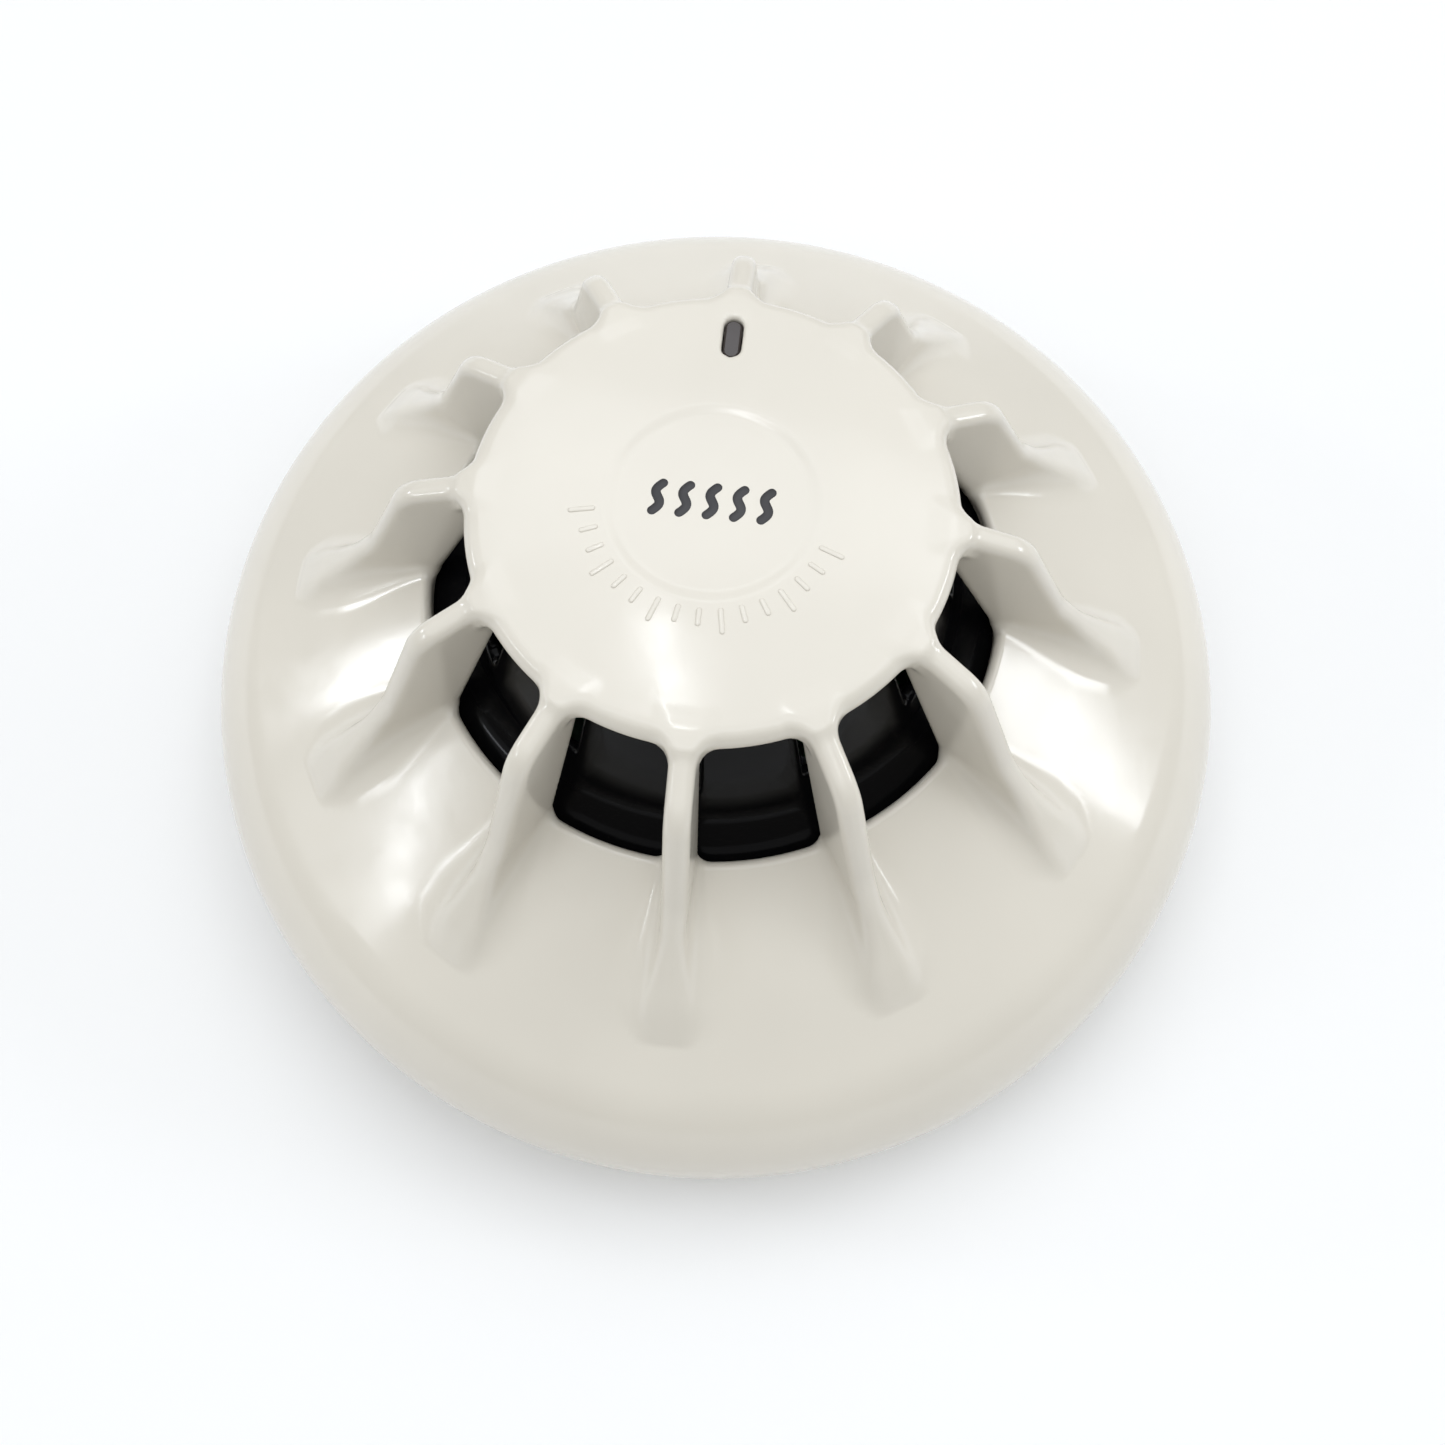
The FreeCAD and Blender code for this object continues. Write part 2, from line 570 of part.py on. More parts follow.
def circuit_board():
    board = rod(BOARD_DIAMETER / 2, BOARD_Z, BOARD_TOP)
    cuts = []
    for angle in BOARD_SCREW_ANGLES:
        cuts.append(rod(BOARD_SCREW_RADIUS + 0.3, BOARD_Z - 1, BOARD_TOP + 1,
                        at(BOARD_SCREW_OFFSET, angle)))
    for place in contact_pin_places():
        cuts.append(rod(CONTACT_PIN_RADIUS + SCREW_FIT, BOARD_Z - 1, BOARD_TOP + 1, place))
    return board.cut(cuts)


def board_screws():
    screws = []
    for angle in BOARD_SCREW_ANGLES:
        screws.append(screw(BOARD_SCREW_RADIUS, BOARD_SCREW_HEAD_RADIUS, 1.2, BOARD_TOP,
                            BODY_PLATE_Z + 1.0, at(BOARD_SCREW_OFFSET, angle)))
    return Part.makeCompound(screws)


def led_top_z():
    return BOARD_TOP + LED_BODY_HEIGHT + LED_LENS_RADIUS


def indicator_led():
    place = at(INDICATOR_OFFSET, 0)
    body = block(3.2, 2.6, BOARD_TOP, LED_BODY_HEIGHT, place)
    lens = Part.makeSphere(LED_LENS_RADIUS, Vector(place.x, place.y, BOARD_TOP + LED_BODY_HEIGHT))
    return body.fuse(lens)


def chip(size_x, size_y, height, centre, leads_per_side, pitch):
    """A moulded package with gull-wing leads along its two long sides."""
    body = block(size_x, size_y, BOARD_TOP + 0.15, height, centre, 0.25)
    shapes = [body]
    first = -(leads_per_side - 1) / 2 * pitch
    for i in range(leads_per_side):
        y = first + i * pitch
        for side in (-1, 1):
            foot = Vector(centre.x + side * (size_x / 2 + 0.4), centre.y + y, 0)
            shapes.append(block(1.0, pitch * 0.45, BOARD_TOP, 0.35, foot))
    return joined(shapes)


def storage_capacitor():
    """A can on a moulded foot, with its pressure groove."""
    place = at(19.0, 150)
    foot = block(6.8, 6.8, BOARD_TOP, 0.8, place, 0.3)
    can = rod(3.15, BOARD_TOP, BOARD_TOP + 7.7, place)
    lip = [e for e in can.Edges if e.BoundBox.ZMin > BOARD_TOP + 7]
    can = can.makeFillet(0.4, lip)
    neck = ring(4.0, 2.9, BOARD_TOP + 1.3, BOARD_TOP + 1.8)
    neck.translate(place)
    return foot.fuse(can.cut(neck)).removeSplitter()


def chip_part(length, width, height, place):
    """A leadless chip part with plated ends."""
    middle = block(length, width, BOARD_TOP, height, place)
    ends = [block(length * 0.2, width + 0.06, BOARD_TOP, height + 0.03,
                  place + Vector(side * length * 0.41, 0, 0)) for side in (-1, 1)]
    return joined([middle] + ends)


RESISTOR_PLACES = [Vector(-4.0, 12.0, 0), Vector(-8.0, 12.0, 0), Vector(8.0, 11.0, 0),
                   Vector(12.0, 8.0, 0)]
CERAMIC_PLACES = [Vector(-7.0, -14.0, 0), Vector(-12.0, -14.0, 0), Vector(-17.0, 8.0, 0)]
DIODE_PLACES = [Vector(18.0, 1.0, 0), Vector(18.0, -4.0, 0)]


# ---- Heat sensor ----

STALK_TOP = BOARD_TOP + STALK_HEIGHT
BEAD_Z = SHROUD_TOP - SHROUD_WALL - BEAD_DEPTH


def lead_places():
    return [Vector(side * LEAD_SPREAD, 0, 0) for side in (-1, 1)]


def thermistor_stalk():
    """A tapered post that carries the bead up into the air stream."""
    post = revolved([(0, BOARD_TOP, 0), (3.6, BOARD_TOP, 0), (3.6, BOARD_TOP + 1.4, 0),
                     (2.3, BOARD_TOP + 2.6, 0), (1.7, STALK_TOP, 0.4), (0, STALK_TOP, 0)])
    return post.cut([rod(LEAD_RADIUS + SCREW_FIT, BOARD_TOP - 1, STALK_TOP + 1, place)
                     for place in lead_places()])


def thermistor_leads():
    leads = []
    for place in lead_places():
        lead = rod(LEAD_RADIUS, BOARD_TOP, BEAD_Z, place)
        bead_room = Part.makeSphere(BEAD_RADIUS, Vector(0, 0, BEAD_Z))
        leads.append(lead.cut(bead_room))
    return Part.makeCompound(leads)


def thermistor_bead():
    return Part.makeSphere(BEAD_RADIUS, Vector(0, 0, BEAD_Z))


# ---- Base ----

def bayonet_track():
    """Ledges that hold the head's lugs, each with an end stop either side."""
    solids = []
    lock_side = LUG_HALF_ANGLE + STOP_PLAY + STOP_ANGLE / 2
    for angle in LUG_ANGLES:
        solids.append(sector(BAYONET_RADIUS + BAYONET_WALL / 2, LEDGE_INNER_RADIUS, LEDGE_Z,
                             LEDGE_TOP, angle, LEDGE_HALF_ANGLE))
        for stop in (angle + lock_side, angle - UNLOCK_ANGLE - lock_side):
            solids.append(sector(BAYONET_RADIUS + BAYONET_WALL / 2, LEDGE_INNER_RADIUS, BASE_PLATE,
                                 LEDGE_TOP, stop, STOP_ANGLE / 2))
    return solids


def base_plate():
    radius = BASE_RADIUS
    inner = radius - BASE_SKIRT_WALL
    plate = rod(inner, 0, BASE_PLATE)
    skirt = revolved([(inner, 0, 0), (radius, 0, 0), (radius, BASE_SKIRT_HEIGHT, BASE_EDGE_RADIUS),
                      (inner, BASE_SKIRT_HEIGHT, BASE_EDGE_RADIUS)])
    track = ring(BAYONET_RADIUS + BAYONET_WALL, BAYONET_RADIUS, 0, LEDGE_TOP)
    solids = [plate, skirt, track] + bayonet_track()
    for angle in TERMINAL_ANGLES:
        solids.append(rod(TERMINAL_BOSS_DIAMETER / 2, 0, TERMINAL_BOSS_TOP,
                          at(TERMINAL_OFFSET, angle)))
    base = joined(solids)
    hole = block(CABLE_HOLE_SIZE, CABLE_HOLE_SIZE, -1, BASE_PLATE + 2, ORIGIN)
    upright = [e for e in hole.Edges if e.BoundBox.ZLength > BASE_PLATE]
    cuts = [hole.makeFillet(CABLE_HOLE_CORNER, upright)]
    slot_length = (FIXING_PITCH_MAX - FIXING_PITCH_MIN) / 2 + FIXING_SLOT_WIDTH
    slot_middle = (FIXING_PITCH_MAX + FIXING_PITCH_MIN) / 4
    slot = oblong(slot_length, FIXING_SLOT_WIDTH, -1, BASE_PLATE + 1, Vector(0, slot_middle, 0))
    cuts += [turned(slot, angle) for angle in (90, 270)]
    for angle in TERMINAL_ANGLES:
        cuts.append(rod(TERMINAL_SCREW_RADIUS + SCREW_FIT, 0.8, TERMINAL_BOSS_TOP + 1,
                        at(TERMINAL_OFFSET, angle)))
    return base.cut(cuts)


def base_contact(index):
    """A leaf spring: flat under its terminal screw, then rising to a contact hump."""
    foot = TERMINAL_BOSS_TOP
    strip = CONTACT_STRIP
    hump_top = HUMP_Z
    back = -TERMINAL_BOSS_DIAMETER / 2
    outline = section([
        (back, foot, 0),
        (4.6, foot, 0.6),
        (CONTACT_SPAN - 1.0, hump_top - strip, 1.0),
        (CONTACT_SPAN + 0.6, hump_top - strip, 0.6),
        (CONTACT_SPAN + 2.6, hump_top - 1.8, 0),
        (CONTACT_SPAN + 2.9, hump_top - 1.4, 0),
        (CONTACT_SPAN + 0.8, hump_top, 1.2),
        (CONTACT_SPAN - 1.2, hump_top, 1.6),
        (4.4, foot + strip, 1.2),
        (back, foot + strip, 0),
    ])
    spring = outline.extrude(Vector(0, CONTACT_WIDTH, 0))
    spring.translate(Vector(0, TERMINAL_OFFSET - CONTACT_WIDTH / 2, 0))
    spring = spring.cut(rod(TERMINAL_SCREW_RADIUS + 0.2, foot - 1, foot + 2,
                            Vector(0, TERMINAL_OFFSET, 0)))
    return turned(spring, TERMINAL_ANGLES[index])


def clamp_plate(index):
    """The square washer that holds the wire under its screw."""
    bottom = TERMINAL_BOSS_TOP + CONTACT_STRIP
    place = Vector(0, TERMINAL_OFFSET, 0)
    plate = block(CLAMP_SIZE, CLAMP_SIZE, bottom, CLAMP_THICKNESS, place)
    upright = [e for e in plate.Edges if e.BoundBox.ZLength > CLAMP_THICKNESS / 2]
    plate = plate.makeFillet(0.8, upright)
    plate = plate.cut(rod(TERMINAL_SCREW_RADIUS + 0.2, bottom - 1, bottom + 2, place))
    return turned(plate, TERMINAL_ANGLES[index])


def terminal_screws():
    seat = TERMINAL_BOSS_TOP + CONTACT_STRIP + CLAMP_THICKNESS
    screws = []
    for angle in TERMINAL_ANGLES:
        screws.append(screw(TERMINAL_SCREW_RADIUS, TERMINAL_SCREW_HEAD_RADIUS, 1.9, seat, 1.0,
                            at(TERMINAL_OFFSET, angle)))
    return Part.makeCompound(screws)


# ---- Build ----

os.makedirs("parts", exist_ok=True)

export("outer_cover", outer_cover())
export("sensor_shroud", sensor_shroud())
export("shroud_seal", shroud_seal())
export("light_pipe", light_pipe())
export("head_body", head_body())
export("body_screws", body_screws())
export("contact_pins", contact_pins())
export("circuit_board", circuit_board())
export("board_screws", board_screws())
export("indicator_led", indicator_led())
export("control_chip", chip(5.3, 6.2, 1.6, Vector(-15.0, -3.0, 0), 8, 0.65))
export("line_driver_chip", chip(3.9, 4.9, 1.4, Vector(10.0, -4.0, 0), 4, 1.27))
export("storage_capacitor", storage_capacitor())
for number, place in enumerate(RESISTOR_PLACES, 1):
    export("chip_resistor_%d" % number, chip_part(2.0, 1.25, 0.5, place))
for number, place in enumerate(CERAMIC_PLACES, 1):
    export("ceramic_capacitor_%d" % number, chip_part(3.2, 1.6, 1.3, place))
for number, place in enumerate(DIODE_PLACES, 1):
    export("surge_diode_%d" % number, chip_part(4.6, 2.6, 2.1, place))
export("thermistor_stalk", thermistor_stalk())
export("thermistor_leads", thermistor_leads())
export("thermistor_bead", thermistor_bead())
for number in range(1, TERMINAL_COUNT + 1):
    export("head_contact_%d" % number, head_contact(number - 1))
    export("base_contact_%d" % number, base_contact(number - 1))
    export("clamp_plate_%d" % number, clamp_plate(number - 1))
export("terminal_screws", terminal_screws())
export("base_plate", base_plate())
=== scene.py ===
import json
import math

import bmesh
import bpy
import numpy as np
from mathutils import Matrix, Vector


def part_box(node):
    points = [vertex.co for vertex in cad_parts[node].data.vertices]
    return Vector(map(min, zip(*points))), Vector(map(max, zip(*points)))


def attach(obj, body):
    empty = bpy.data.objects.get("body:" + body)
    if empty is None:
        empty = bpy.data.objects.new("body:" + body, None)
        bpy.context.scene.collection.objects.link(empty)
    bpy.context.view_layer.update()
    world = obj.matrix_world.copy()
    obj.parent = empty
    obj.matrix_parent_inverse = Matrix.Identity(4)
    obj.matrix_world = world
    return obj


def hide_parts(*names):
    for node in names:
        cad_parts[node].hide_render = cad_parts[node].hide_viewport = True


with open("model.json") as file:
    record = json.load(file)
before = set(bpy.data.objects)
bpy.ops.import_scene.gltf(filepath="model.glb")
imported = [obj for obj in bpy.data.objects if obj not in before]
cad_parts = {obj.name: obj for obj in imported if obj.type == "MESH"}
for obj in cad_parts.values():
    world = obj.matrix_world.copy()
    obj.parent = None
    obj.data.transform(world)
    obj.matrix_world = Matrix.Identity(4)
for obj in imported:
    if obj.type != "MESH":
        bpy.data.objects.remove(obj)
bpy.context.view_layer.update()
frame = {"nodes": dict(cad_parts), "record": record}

MM = 0.001
NODES = frame["nodes"]

# ---- Sizes, mm, from the frame ----
cover_low, cover_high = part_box("outer_cover")
shroud_low, shroud_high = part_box("sensor_shroud")
pipe_low, pipe_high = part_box("light_pipe")
RIM_Z = cover_low.z / MM
HEAD_RADIUS = (cover_high.x - cover_low.x) / 2 / MM
PIPE_OFFSET = (pipe_low.y + pipe_high.y) / 2 / MM
PIPE_LENGTH = (pipe_high.y - pipe_low.y) / MM
PIPE_WIDTH = (pipe_high.x - pipe_low.x) / MM
SHROUD_TOP = shroud_high.z / MM
SHROUD_BOTTOM = shroud_low.z / MM

# ---- Shape of the cover, mm ----
RIB_COUNT = 12
WALL = 2.0
HEAD_HEIGHT = 43.0
FACE_Z = RIM_Z + HEAD_HEIGHT
SLOPE = math.tan(math.radians(28.8))
SHOULDER_RADIUS = 14.3
SILL_RADIUS = 27.5
SILL_Z = RIM_Z + 26.3
FACE_RADIUS = 21.7
FACE_DROP = 1.0
FACE_EDGE_Z = FACE_Z - FACE_DROP
FACE_UNDER_Z = FACE_EDGE_Z - WALL
FACE_BALL = (FACE_RADIUS ** 2 + FACE_DROP ** 2) / (2 * FACE_DROP)
BADGE_RADIUS = 8.25
BADGE_RAMP_RADIUS = 9.65
BADGE_DEPTH = 0.2
WALL_DROP = WALL / math.cos(math.atan(SLOPE))

CREST_FALL = math.tan(math.radians(22.0))
CREST_STEEP = math.tan(math.radians(64.5))
CREST_TAIL = math.tan(math.radians(51.5))
KNEE_R = 28.2
KNEE_Z = FACE_EDGE_Z - CREST_FALL * (KNEE_R - FACE_RADIUS)
BEND_R = 33.3
BEND_Z = KNEE_Z - CREST_STEEP * (BEND_R - KNEE_R)
FOOT_R = (BEND_Z + CREST_TAIL * BEND_R - SILL_Z - SLOPE * SILL_RADIUS) / (CREST_TAIL - SLOPE)
RIB_HALF_WIDTH = 1.15
RIB_DRAFT = 0.02
RIB_ROUNDING = 1.1
FACE_ROUNDING = 1.6
FACE_FILLET = 1.9
SILL_FILLET = 1.3
FOOT_FILLET_GAIN = 2.9
FOOT_FILLET_R = 38.0

# ---- Shape of the black moulding, mm ----
SHROUD_WALL = 1.2
SHROUD_TOP_RADIUS = 19.2
SHROUD_BEND_RADIUS = 6.0
SHROUD_REST_GAP = 0.15
AIR_SLOT_HALF_WIDTH = 1.0
AIR_SLOT_TOP = SHROUD_TOP - 2.0
AIR_SLOT_BOTTOM = AIR_SLOT_TOP - 7.0
AIR_SLOT_INNER_R = 15.0


# ---- Distance fields: negative inside the material, mm ----

def flange_z(radius):
    return SILL_Z - SLOPE * (radius - SILL_RADIUS)


def outline(corners):
    """Runs and tangent arcs through (radius, z, rounding) corners, taken anticlockwise."""
    runs = []
    arcs = []
    points = [Vector((x, z)) for x, z, _ in corners]
    ends = []
    for i, (here, corner) in enumerate(zip(points, corners)):
        back = (points[i - 1] - here).normalized()
        ahead = (points[(i + 1) % len(points)] - here).normalized()
        half = back.angle(ahead) / 2
        rounding = corner[2]
        middle = (back + ahead).normalized()
        centre = here + middle * (rounding / math.sin(half))
        reach = rounding / math.tan(half)
        convex = ahead.x * back.y - ahead.y * back.x > 0
        arcs.append((centre, rounding, -middle, math.pi / 2 - half, 1.0 if convex else -1.0))
        ends.append((here + back * reach, here + ahead * reach))
    for i in range(len(points)):
        runs.append((ends[i][1], ends[(i + 1) % len(points)][0]))
    return runs, arcs


def outline_distance(shape, x, z):
    """Signed distance to an outline whose corners are all rounded."""
    best = np.full(np.broadcast(x, z).shape, 1e9)
    signed = best.copy()
    for start, end in shape[0]:
        length = (end - start).length
        along = (end - start) / length if length > 1e-9 else Vector((1.0, 0.0))
        dx = x - start.x
        dz = z - start.y
        t = np.clip(dx * along.x + dz * along.y, 0.0, length)
        gap = np.hypot(dx - t * along.x, dz - t * along.y)
        side = np.sign(dx * along.y - dz * along.x)
        near = gap < best
        best = np.where(near, gap, best)
        signed = np.where(near, gap * side, signed)
    for centre, radius, middle, span, convex in shape[1]:
        dx = x - centre.x
        dz = z - centre.y
        reach = np.hypot(dx, dz)
        facing = dx * middle.x + dz * middle.y >= reach * math.cos(span)
        gap = np.where(facing, np.abs(reach - radius), 1e9)
        near = gap < best
        best = np.where(near, gap, best)
        signed = np.where(near, (reach - radius) * convex, signed)
    return signed


def union(a, b, blend):
    """Two shapes as one, with a fillet about as wide as blend."""
    h = np.maximum(blend - np.abs(a - b), 0.0) / blend
    return np.minimum(a, b) - h * h * blend / 4


def overlap(a, b, blend):
    """What two shapes share, with its edge rounded over about blend."""
    return -union(-a, -b, blend)


def ease(value, low, high):
    t = np.clip((value - low) / (high - low), 0.0, 1.0)
    return t * t * (3 - 2 * t)


FLANGE = outline([
    (HEAD_RADIUS, RIM_Z, 0.5),
    (HEAD_RADIUS, flange_z(HEAD_RADIUS), SHOULDER_RADIUS),
    (SILL_RADIUS, SILL_Z, 0.7),
    (SILL_RADIUS, SILL_Z - WALL_DROP, 0.4),
    (HEAD_RADIUS - WALL, flange_z(HEAD_RADIUS - WALL) - WALL_DROP, SHOULDER_RADIUS - WALL),
    (HEAD_RADIUS - WALL, RIM_Z, 0.3),
])


def rib_outline():
    """A rib's side, whose crest runs straight down into the flange's wall."""
    sunk = WALL_DROP / 2
    end_r = FOOT_R + sunk / (CREST_TAIL - SLOPE)
    return outline([
        (end_r, flange_z(end_r) - sunk, 0.3),
        (BEND_R, BEND_Z, 10.0),
        (KNEE_R, KNEE_Z, 5.0),
        (FACE_RADIUS + 0.6, FACE_EDGE_Z - 0.32, 0.6),
        (FACE_RADIUS - WALL, FACE_EDGE_Z - 1.0, 0.2),
        (FACE_RADIUS - WALL, FACE_UNDER_Z - 0.2, 0.2),
        (SILL_RADIUS - 0.6, SILL_Z - sunk, 0.3),
    ])


RIB = rib_outline()


def face_top(radius):
    """Height of the domed face, with the shallow dish in its middle."""
    dish = BADGE_DEPTH * (1 - ease(radius, BADGE_RADIUS, BADGE_RAMP_RADIUS))
    return FACE_Z - radius * radius / (2 * FACE_BALL) - dish


def slot_distance(r, turn, z, length, width):
    """An endless upright bar of slot section, round the light pipe."""
    across = r * np.sin(turn)
    along = r * np.cos(turn) - PIPE_OFFSET
    reach = (length - width) / 2
    return np.hypot(across, np.maximum(np.abs(along) - reach, 0.0)) - width / 2


def crest_z(r):
    """Height of a rib's crest, without its roundings."""
    fall = KNEE_Z - CREST_FALL * (r - KNEE_R)
    steep = KNEE_Z - CREST_STEEP * (r - KNEE_R)
    tail = BEND_Z - CREST_TAIL * (r - BEND_R)
    return np.minimum(fall, np.maximum(steep, tail))


def foot_fillet(r):
    """Size of the fillet beside a rib, widening down the flange and fading at the foot."""
    full = SILL_FILLET + FOOT_FILLET_GAIN * ease(r, SILL_RADIUS, FOOT_FILLET_R)
    return full * (1 - 0.8 * ease(r, FOOT_R - 1.5, FOOT_R + 4.5))


def cover_distance(r, turn, z):
    """The cover, with turn measured from the nearest rib."""
    flange = outline_distance(FLANGE, r, z)
    rim = overlap(r - FACE_RADIUS, z - face_top(r), FACE_ROUNDING)
    face = overlap(rim, FACE_UNDER_Z - z, 0.6)
    depth = np.clip(crest_z(r) - z, 0.0, 14.0)
    across = np.abs(r * np.sin(turn)) - RIB_HALF_WIDTH - RIB_DRAFT * depth
    rib = overlap(outline_distance(RIB, r, z), across, RIB_ROUNDING)
    return union(union(face, rib, FACE_FILLET), flange, foot_fillet(r))


def shroud_outline():
    """A leaning wall under a flat top, and a skirt that lies under the flange."""
    lean = (SILL_RADIUS - FACE_RADIUS) / (FACE_EDGE_Z - SILL_Z)
    wall = SHROUD_WALL
    top_r = SHROUD_TOP_RADIUS
    seat = flange_z(SILL_RADIUS) - WALL_DROP - SHROUD_REST_GAP
    corner_r = (top_r + lean * (SHROUD_TOP - seat - SLOPE * SILL_RADIUS)) / (1 - lean * SLOPE)
    corner_z = seat - SLOPE * (corner_r - SILL_RADIUS)
    skirt_r = (shroud_high.x - shroud_low.x) / 2 / MM
    skirt_z = seat - SLOPE * (skirt_r - SILL_RADIUS)
    drop = wall / math.cos(math.atan(SLOPE))
    inner_r = top_r + lean * wall - wall * math.hypot(1, lean)
    return outline([
        (skirt_r, SHROUD_BOTTOM, 0.1),
        (skirt_r, skirt_z, 0.8),
        (corner_r, corner_z, SHROUD_BEND_RADIUS),
        (top_r, SHROUD_TOP, 1.0),
        (-9.0, SHROUD_TOP, 0.1),
        (-9.0, SHROUD_TOP - wall, 0.1),
        (inner_r, SHROUD_TOP - wall, 0.2),
        (corner_r - wall * 0.8, corner_z - drop + SLOPE * wall * 0.8, SHROUD_BEND_RADIUS + wall),
        (skirt_r - wall, skirt_z - drop + SLOPE * wall, 0.2),
        (skirt_r - wall, SHROUD_BOTTOM, 0.1),
    ])


SHROUD = shroud_outline()


def shroud_distance(r, turn, z):
    """The black moulding, with an air slot behind each rib."""
    body = outline_distance(SHROUD, r, z)
    across = np.abs(r * np.sin(turn)) - AIR_SLOT_HALF_WIDTH
    middle = (AIR_SLOT_TOP + AIR_SLOT_BOTTOM) / 2
    tall = np.abs(z - middle) - (AIR_SLOT_TOP - AIR_SLOT_BOTTOM) / 2
    slot = overlap(overlap(across, tall, 0.8), AIR_SLOT_INNER_R - r, 0.5)
    return overlap(body, -slot, 0.4)


# ---- Meshing a distance field on a polar grid ----

def from_rib(turn):
    """The angle from the nearest rib."""
    pitch = 2 * math.pi / RIB_COUNT
    return (turn + pitch / 2) % pitch - pitch / 2


def cut_field(field, cutter, r, turn, z):
    """The repeated field, with a cut made once, at the indicator."""
    solid = field(r, from_rib(turn), z)
    if cutter is None:
        return solid
    away = (turn + math.pi) % (2 * math.pi) - math.pi
    return np.where(np.abs(away) < 0.5, overlap(solid, -cutter(r, away, z), 0.35), solid)


def grid_values(field, cutter, radii, turns, heights):
    """The field on the grid, worked out for one rib and repeated round the axis."""
    sector = turns // RIB_COUNT
    step = 2 * math.pi / turns
    r = radii[:, None, None]
    z = heights[None, None, :]
    one = field(r, from_rib(step * np.arange(sector))[None, :, None], z)
    values = np.tile(one, (1, RIB_COUNT, 1))
    if cutter is not None:
        near = np.arange(-sector // 2, sector // 2)
        values[:, near, :] = cut_field(field, cutter, r, (step * near)[None, :, None], z)
    return values


def crossings(values, cells):
    """Each active cell's vertex, as a fraction of the cell: the mean of its edge crossings."""
    offsets = [(a, b, c) for a in (0, 1) for b in (0, 1) for c in (0, 1)]
    wrap = values.shape[1]
    corner = {o: values[cells[0] + o[0], (cells[1] + o[1]) % wrap, cells[2] + o[2]] for o in offsets}
    total = np.zeros((len(cells[0]), 3))
    count = np.zeros(len(cells[0]))
    for start in offsets:
        for axis in range(3):
            if start[axis]:
                continue
            end = tuple(1 if i == axis else start[i] for i in range(3))
            a = corner[start]
            b = corner[end]
            cross = (a < 0) != (b < 0)
            t = np.where(cross, a / np.where(cross, a - b, 1.0), 0.0)
            point = np.tile(np.array(start, float), (len(t), 1))
            point[:, axis] = t
            total += point * cross[:, None]
            count += cross
    return total / count[:, None]


def cell_quads(values, number):
    """A quad round each grid edge that passes through the surface, facing out."""
    inside = values < 0
    wrap = values.shape[1]
    quads = []

    def around(edge, first, second, keep):
        i, j, k = np.nonzero(edge & keep)
        flip = inside[i, j, k]
        ring = []
        for a, b in ((0, 0), (1, 0), (1, 1), (0, 1)):
            place = [i.copy(), j.copy(), k.copy()]
            place[first] = place[first] - 1 + a
            place[second] = place[second] - 1 + b
            place[1] = place[1] % wrap
            ring.append(number[place[0], place[1], place[2]])
        ring = np.stack(ring, axis=1)
        ring[flip] = ring[flip][:, ::-1]
        quads.append(ring)

    shape = values.shape
    i, j, k = np.indices(shape, sparse=True)
    ahead = np.zeros(shape, bool)
    ahead[:-1] = inside[:-1] != inside[1:]
    around(ahead, 1, 2, (k > 0) & (k < shape[2] - 1) & (j >= 0) & (i >= 0))
    ahead = inside != np.roll(inside, -1, axis=1)
    around(ahead, 2, 0, (k > 0) & (k < shape[2] - 1) & (i > 0) & (i < shape[0] - 1) & (j >= 0))
    ahead = np.zeros(shape, bool)
    ahead[:, :, :-1] = inside[:, :, :-1] != inside[:, :, 1:]
    around(ahead, 0, 1, (i > 0) & (i < shape[0] - 1) & (j >= 0) & (k >= 0))
    return np.concatenate(quads)


def slope_at(measure, points, step=0.01):
    """Gradient of a distance field."""
    slope = np.empty_like(points)
    for axis in range(3):
        shift = np.zeros(3)
        shift[axis] = step
        slope[:, axis] = (measure(points + shift) - measure(points - shift)) / (2 * step)
    return slope


